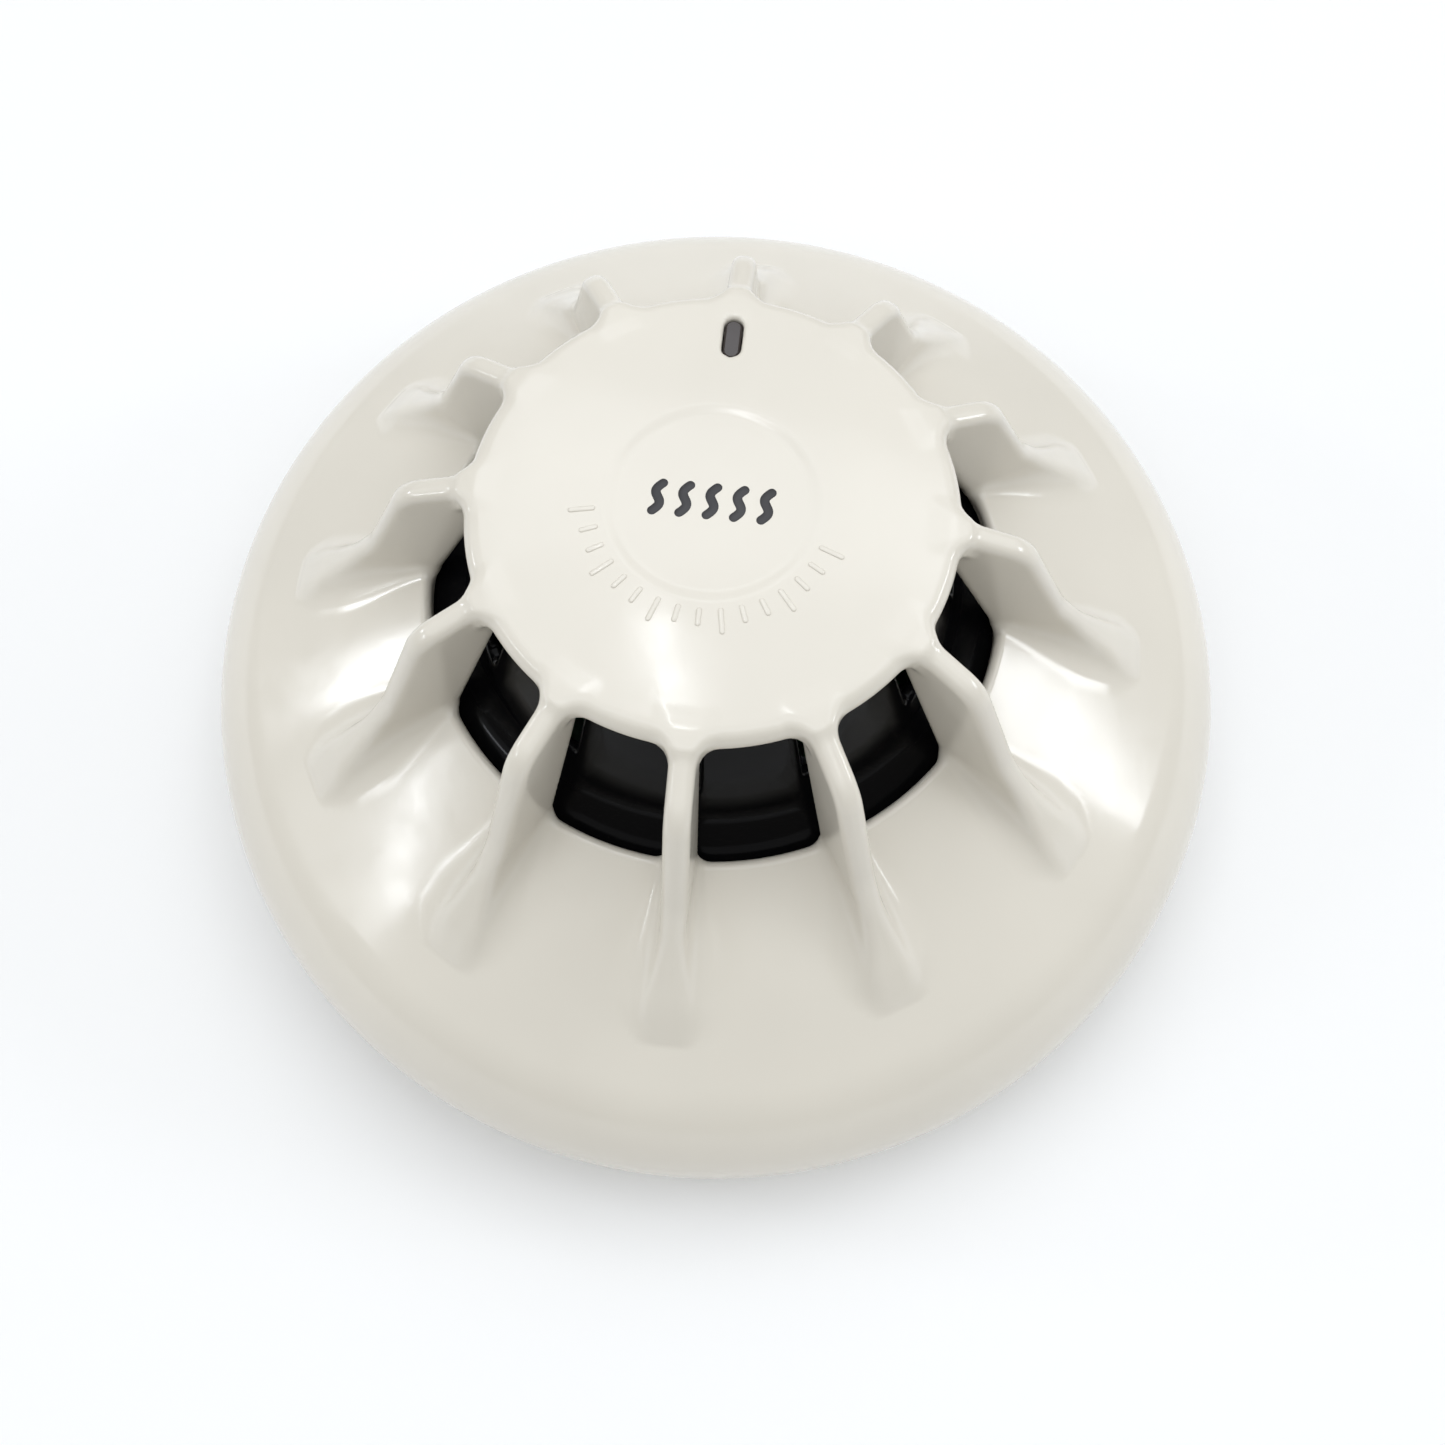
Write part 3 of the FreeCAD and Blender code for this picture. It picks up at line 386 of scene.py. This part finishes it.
def polar_mesh(name, field, cutter, radii, turns, heights):
    """A closed mesh of a field that repeats round the axis, with true surface normals."""
    values = grid_values(field, cutter, radii, turns, heights)
    inside = values < 0
    corners = np.zeros((len(radii) - 1, turns, len(heights) - 1), np.int8)
    for a in (0, 1):
        for c in (0, 1):
            part = inside[a:a + len(radii) - 1, :, c:c + len(heights) - 1]
            corners += part
            corners += np.roll(part, -1, axis=1)
    cells = np.nonzero((corners > 0) & (corners < 8))
    number = np.full(corners.shape, -1)
    number[cells] = np.arange(len(cells[0]))
    part = crossings(values, cells)
    r = radii[cells[0]] + part[:, 0] * np.diff(radii)[cells[0]]
    z = heights[cells[2]] + part[:, 2] * np.diff(heights)[cells[2]]
    turn = (cells[1] + part[:, 1]) * (2 * math.pi / turns)
    points = np.stack([r * np.sin(turn), r * np.cos(turn), z], axis=1)

    def measure(p):
        return cut_field(field, cutter, np.hypot(p[:, 0], p[:, 1]),
                         np.arctan2(p[:, 0], p[:, 1]), p[:, 2])

    for _ in range(3):
        slope = slope_at(measure, points)
        steep = np.maximum((slope ** 2).sum(1), 0.2)
        step = -measure(points) / steep
        points += slope * np.clip(step, -0.25, 0.25)[:, None]
    normals = slope_at(measure, points)
    normals /= np.maximum(np.linalg.norm(normals, axis=1), 1e-9)[:, None]
    quads = cell_quads(values, number)
    mesh = bpy.data.meshes.new(name)
    mesh.from_pydata(points * MM, [], quads.tolist())
    build = bmesh.new()
    build.from_mesh(mesh)
    rims = [e for e in build.edges if e.is_boundary]
    bmesh.ops.holes_fill(build, edges=rims, sides=0)
    for face in build.faces:
        face.smooth = True
    build.to_mesh(mesh)
    build.free()
    mesh.normals_split_custom_set_from_vertices(normals.tolist())
    piece = bpy.data.objects.new(name, mesh)
    bpy.context.scene.collection.objects.link(piece)
    return piece


def steps(stops):
    """Grid positions from (start, step) pairs and a last stop."""
    places = []
    for (start, size), (end, _) in zip(stops[:-1], stops[1:]):
        count = max(1, round((end - start) / size))
        places.append(np.linspace(start, end, count, endpoint=False))
    places.append(np.array([stops[-1][0]]))
    return np.concatenate(places)


FINE = 0.4
TURNS = RIB_COUNT * 40


def make_cover():
    radii = steps([(0.6, 1.4), (7.9, 0.2), (10.0, 0.8), (13.5, FINE), (42.0, FINE * 1.5),
                   (HEAD_RADIUS + 0.7, 0)])
    heights = steps([(RIM_Z - 0.6, FINE), (FACE_Z + 0.6, 0)])

    def cutter(r, turn, z):
        return slot_distance(r, turn, z, PIPE_LENGTH + 0.2, PIPE_WIDTH + 0.2)

    return polar_mesh("cover_shell", cover_distance, cutter, radii, TURNS, heights)


def make_shroud():
    radii = steps([(0.6, 2.0), (13.0, FINE), ((shroud_high.x / MM) + 0.7, 0)])
    heights = steps([(SHROUD_BOTTOM - 0.6, FINE), (SHROUD_TOP + 0.6, 0)])

    def cutter(r, turn, z):
        return slot_distance(r, turn, z, PIPE_LENGTH + 0.6, PIPE_WIDTH + 0.6)

    return polar_mesh("shroud_shell", shroud_distance, cutter, radii, TURNS, heights)


# ---- Materials ----

COVER_WHITE = (0.728, 0.69, 0.612)
SATIN_WHITE = (0.72, 0.693, 0.625)


def shader(name):
    material = bpy.data.materials.new(name)
    material.use_nodes = True
    return material, material.node_tree, material.node_tree.nodes["Principled BSDF"]


def noise(tree, scale, detail=2.0):
    place = tree.nodes.new("ShaderNodeTexCoord")
    texture = tree.nodes.new("ShaderNodeTexNoise")
    texture.inputs["Scale"].default_value = scale
    texture.inputs["Detail"].default_value = detail
    tree.links.new(place.outputs["Object"], texture.inputs["Vector"])
    return texture.outputs["Fac"]


def ramp(tree, source, stops):
    node = tree.nodes.new("ShaderNodeValToRGB")
    for element, (position, colour) in zip(node.color_ramp.elements, stops):
        element.position = position
        element.color = colour
    tree.links.new(source, node.inputs["Fac"])
    return node.outputs["Color"]


def grain(tree, surface, scale, depth, strength):
    bump = tree.nodes.new("ShaderNodeBump")
    bump.inputs["Strength"].default_value = strength
    bump.inputs["Distance"].default_value = depth
    tree.links.new(noise(tree, scale), bump.inputs["Height"])
    tree.links.new(bump.outputs["Normal"], surface.inputs["Normal"])


def shade(colour, factor):
    return tuple(min(1.0, c * factor) for c in colour) + (1.0,)


def moulded(name, colour, low_roughness, high_roughness, spread=0.02, ripple=(900.0, 0.00002, 0.15)):
    """Moulded plastic: slight colour drift, uneven polish and a faint surface ripple."""
    material, tree, surface = shader(name)
    tint = ramp(tree, noise(tree, 45.0), [(0.35, shade(colour, 1 - spread)),
                                          (0.65, shade(colour, 1 + spread))])
    tree.links.new(tint, surface.inputs["Base Color"])
    polish = ramp(tree, noise(tree, 260.0, 4.0),
                  [(0.3, (low_roughness,) * 3 + (1.0,)), (0.7, (high_roughness,) * 3 + (1.0,))])
    tree.links.new(polish, surface.inputs["Roughness"])
    grain(tree, surface, *ripple)
    return material, surface


def wear(piece, material):
    piece.data.materials.clear()
    piece.data.materials.append(material)


def plated(name, colour, low_roughness, high_roughness, scale=700.0):
    """Metal with uneven polish and faint scratches."""
    material, surface = moulded(name, colour, low_roughness, high_roughness, 0.05,
                                (scale, 0.00001, 0.2))
    surface.inputs["Metallic"].default_value = 1.0
    return material


def lens(name, colour, roughness, clear):
    material, surface = moulded(name, colour, roughness, roughness + 0.06, 0.25)
    surface.inputs["Transmission Weight"].default_value = clear
    return material


def finishes():
    """A material for each slot in the record, and for the printed mark."""
    cover, surface = moulded("cover_gloss", COVER_WHITE, 0.10, 0.18)
    surface.inputs["Specular IOR Level"].default_value = 0.55
    black, surface = moulded("shroud_gloss", (0.003, 0.003, 0.0035), 0.07, 0.12, 0.1)
    surface.inputs["Specular IOR Level"].default_value = 0.08
    satin = moulded("satin_plastic", SATIN_WHITE, 0.36, 0.48, 0.02,
                    (2500.0, 0.00003, 0.4))[0]
    foam = moulded("foam", (0.03, 0.03, 0.03), 0.85, 0.95, 0.3, (4000.0, 0.0001, 0.8))[0]
    laminate = moulded("solder_mask", (0.012, 0.11, 0.04), 0.25, 0.4, 0.15, (600.0, 0.00004, 0.5))[0]
    resin = moulded("chip_resin", (0.018, 0.018, 0.02), 0.45, 0.6, 0.2, (5000.0, 0.00003, 0.5))[0]
    ceramic = moulded("ceramic", (0.38, 0.26, 0.14), 0.4, 0.55, 0.08)[0]
    film = moulded("resistor_film", (0.02, 0.02, 0.025), 0.3, 0.45, 0.2)[0]
    ink = moulded("ink", (0.022, 0.021, 0.024), 0.38, 0.5, 0.1)[0]
    return {"cover_plastic": cover, "shroud_plastic": black, "body_plastic": satin,
            "base_plastic": satin, "foam_seal": foam, "board_laminate": laminate,
            "chip_resin": resin, "capacitor_ceramic": ceramic, "resistor_ceramic": film,
            "smoked_lens": lens("smoked_lens", (0.056, 0.044, 0.042), 0.08, 0.2),
            "led_resin": lens("led_resin", (0.55, 0.06, 0.04), 0.15, 0.3),
            "glass_bead": lens("glass_bead", (0.2, 0.07, 0.03), 0.1, 0.3),
            "can_aluminium": plated("can_aluminium", (0.75, 0.75, 0.76), 0.22, 0.38),
            "plated_wire": plated("plated_wire", (0.7, 0.7, 0.68), 0.2, 0.35),
            "zinc_steel": plated("zinc_steel", (0.62, 0.63, 0.64), 0.25, 0.42),
            "contact_brass": plated("contact_brass", (0.74, 0.55, 0.24), 0.2, 0.35),
            "nickel_plate": plated("nickel_plate", (0.66, 0.62, 0.56), 0.18, 0.34),
            "ink": ink}


# ---- Raised marks on the face, mm ----

TICK_COUNT = 16
TICK_START = 110.0
TICK_PITCH = 10.0
TICK_INNER_R = 10.3
TICK_SHORT_R = 11.5
TICK_LONG_R = 12.2
TICK_HALF_WIDTH = 0.24
TICK_HEIGHT = 0.1
TICK_EDGE = 0.12
WAVE_COUNT = 5
WAVE_PITCH = 2.35
WAVE_LOW = -1.45
WAVE_LENGTH = 2.7
WAVE_SWING = 0.36
WAVE_LEAN = 0.25
WAVE_HALF_WIDTH = 0.42
WAVE_STEPS = 24
INK_HEIGHT = 0.03
INK_EDGE = 0.02


def stroke_outline(path, half_width):
    """The outline of a round-ended stroke along a path of (x, y) points."""
    points = [Vector(p) for p in path]
    heads = []
    for i in range(len(points)):
        run = points[min(i + 1, len(points) - 1)] - points[max(i - 1, 0)]
        heads.append(run.normalized())
    left = [p + Vector((-h.y, h.x)) * half_width for p, h in zip(points, heads)]
    right = [p - Vector((-h.y, h.x)) * half_width for p, h in zip(points, heads)]

    def cap(centre, head):
        start = math.atan2(head.y, head.x) + math.pi / 2
        turns = [start - math.pi * k / 8 for k in range(1, 8)]
        return [centre + Vector((math.cos(t), math.sin(t))) * half_width for t in turns]

    return left + cap(points[-1], heads[-1]) + right[::-1] + cap(points[0], -heads[0])


def raise_stroke(build, path, half_width, height, edge):
    """A low ridge along a path, standing on the face, all mm."""
    levels = [(half_width, -0.05), (half_width, 0.0), (half_width - edge * 0.3, height * 0.7),
              (half_width - edge, height)]
    loops = []
    for width, lift in levels:
        loop = []
        for p in stroke_outline(path, width):
            z = face_top(np.float64(p.length)) + lift
            loop.append(build.verts.new((p.x * MM, p.y * MM, z * MM)))
        loops.append(loop)
    count = len(loops[0])
    for low, high in zip(loops[:-1], loops[1:]):
        for i in range(count):
            j = (i + 1) % count
            build.faces.new((low[i], high[i], high[j], low[j]))
    ends = [build.faces.new(loops[0]), build.faces.new(loops[-1][::-1])]
    bmesh.ops.triangulate(build, faces=ends)


def strokes(name, paths, half_width, height, edge):
    build = bmesh.new()
    for path in paths:
        raise_stroke(build, path, half_width, height, edge)
    bmesh.ops.recalc_face_normals(build, faces=build.faces)
    for face in build.faces:
        face.smooth = True
    mesh = bpy.data.meshes.new(name)
    build.to_mesh(mesh)
    build.free()
    piece = bpy.data.objects.new(name, mesh)
    bpy.context.scene.collection.objects.link(piece)
    return piece


def make_ticks():
    """An arc of moulded ticks round the lower side of the dish, every third one longer."""
    paths = []
    for i in range(TICK_COUNT):
        turn = math.radians(TICK_START + TICK_PITCH * i)
        outer = TICK_LONG_R if i % 3 == 0 else TICK_SHORT_R
        way = Vector((math.sin(turn), math.cos(turn)))
        paths.append([way * TICK_INNER_R, way * outer])
    return strokes("face_ticks", paths, TICK_HALF_WIDTH, TICK_HEIGHT, TICK_EDGE)


def make_mark():
    """Printed heat waves, leaning to the right."""
    paths = []
    for i in range(WAVE_COUNT):
        middle = WAVE_PITCH * (i - (WAVE_COUNT - 1) / 2)
        wave = []
        for k in range(WAVE_STEPS + 1):
            y = WAVE_LOW + WAVE_LENGTH * k / WAVE_STEPS
            swing = WAVE_SWING * math.sin(2 * math.pi * k / WAVE_STEPS)
            wave.append((middle + swing + WAVE_LEAN * y, y))
        paths.append(wave)
    return strokes("heat_mark", paths, WAVE_HALF_WIDTH, INK_HEIGHT, INK_EDGE)


# ---- Build ----

def dress(looks):
    """Gives each shown node its material, and adds the pieces that replace or mark nodes."""
    for part in frame["record"]["subparts"]:
        wear(NODES[part["node"]], looks[part["material_slot"]])
    cover = make_cover()
    wear(cover, looks["cover_plastic"])
    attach(cover, "head")
    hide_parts("outer_cover")
    shroud = make_shroud()
    wear(shroud, looks["shroud_plastic"])
    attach(shroud, "head")
    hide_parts("sensor_shroud")
    ticks = make_ticks()
    wear(ticks, looks["cover_plastic"])
    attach(ticks, "head")
    mark = make_mark()
    wear(mark, looks["ink"])
    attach(mark, "head")


# ---- Camera, floor and light ----

# Degrees, and mm for the rest. Azimuth 0 is the side away from the indicator.
AZIMUTH, ELEVATION, ROLL = 6.545, 70.867, -0.536
DISTANCE = 144.09
TARGET = Vector((1.885, -10.392, 15.0 + RIM_Z))
LENS = 35.23
SENSOR_WIDTH = 36.0
KEY_COLOUR = (0.96, 1.0, 1.06)
FILL_COLOUR = (1.0, 0.975, 0.90, 1)
FILL_STRENGTH = 0.35


def direction(azimuth, elevation):
    """Unit vector towards a place seen at that azimuth and elevation from the object."""
    a = math.radians(azimuth)
    e = math.radians(elevation)
    return Vector((math.sin(a) * math.cos(e), -math.cos(a) * math.cos(e), math.sin(e)))


def make_camera():
    back = direction(AZIMUTH, ELEVATION)
    right = Vector((math.cos(math.radians(AZIMUTH)), math.sin(math.radians(AZIMUTH)), 0))
    up = back.cross(right)
    roll = math.radians(ROLL)
    side = right * math.cos(roll) + up * math.sin(roll)
    top = up * math.cos(roll) - right * math.sin(roll)
    place = (TARGET + back * DISTANCE) * MM
    turn = Matrix((side, top, back)).transposed().to_4x4()
    data = bpy.data.cameras.new("camera")
    data.lens = LENS
    data.sensor_width = SENSOR_WIDTH
    data.clip_start = 0.005
    camera = bpy.data.objects.new("camera", data)
    camera.matrix_world = Matrix.Translation(place) @ turn
    bpy.context.scene.collection.objects.link(camera)
    bpy.context.scene.camera = camera


def make_floor():
    bpy.ops.mesh.primitive_plane_add(size=6.0)
    floor = bpy.context.object
    floor.name = "floor"
    material, tree, surface = shader("floor_white")
    tint = ramp(tree, noise(tree, 3.0), [(0.3, (0.89, 0.89, 0.89, 1)), (0.7, (0.91, 0.91, 0.91, 1))])
    tree.links.new(tint, surface.inputs["Base Color"])
    surface.inputs["Roughness"].default_value = 0.9
    surface.inputs["Specular IOR Level"].default_value = 0.1
    wear(floor, material)


def softbox(name, azimuth, elevation, distance, size, power):
    """A rectangular light facing the head, in metres and watts."""
    data = bpy.data.lights.new(name, "AREA")
    data.shape = "RECTANGLE"
    data.size, data.size_y = size
    data.energy = power
    data.color = KEY_COLOUR
    lamp = bpy.data.objects.new(name, data)
    away = direction(azimuth, elevation)
    lamp.location = away * distance + Vector((0, 0, 0.03))
    lamp.rotation_euler = away.to_track_quat("Z", "Y").to_euler()
    bpy.context.scene.collection.objects.link(lamp)


def make_light():
    """Big soft boxes for the even light, and small ones for the bright reflections."""
    world = bpy.data.worlds.new("studio")
    world.use_nodes = True
    sky = world.node_tree.nodes["Background"]
    sky.inputs["Color"].default_value = FILL_COLOUR
    sky.inputs["Strength"].default_value = FILL_STRENGTH
    bpy.context.scene.world = world
    softbox("overhead", 170.0, 84.0, 1.2, (1.3, 1.3), 6.6)
    softbox("back", 180.0, 50.0, 1.2, (1.0, 0.8), 2.1)
    softbox("right", 112.0, 45.0, 1.2, (1.0, 1.0), 2.6)
    softbox("left", -85.0, 42.0, 1.2, (1.0, 1.0), 1.9)
    softbox("front", 0.0, 60.0, 1.1, (1.3, 0.7), 1.4)
    softbox("tube", -156.0, 76.0, 1.2, (0.05, 0.21), 0.32)
    softbox("right_window", 99.0, 24.5, 1.0, (0.31, 0.15), 1.1)
    softbox("left_window", -66.0, 28.5, 1.0, (0.27, 0.035), 0.40)
    softbox("left_edge", -79.0, 25.5, 1.0, (0.025, 0.055), 0.05)
    softbox("left_pane", -96.0, 20.5, 1.0, (0.13, 0.07), 0.50)
    bpy.context.scene.view_settings.view_transform = "Standard"


make_camera()
make_floor()
make_light()
dress(finishes())
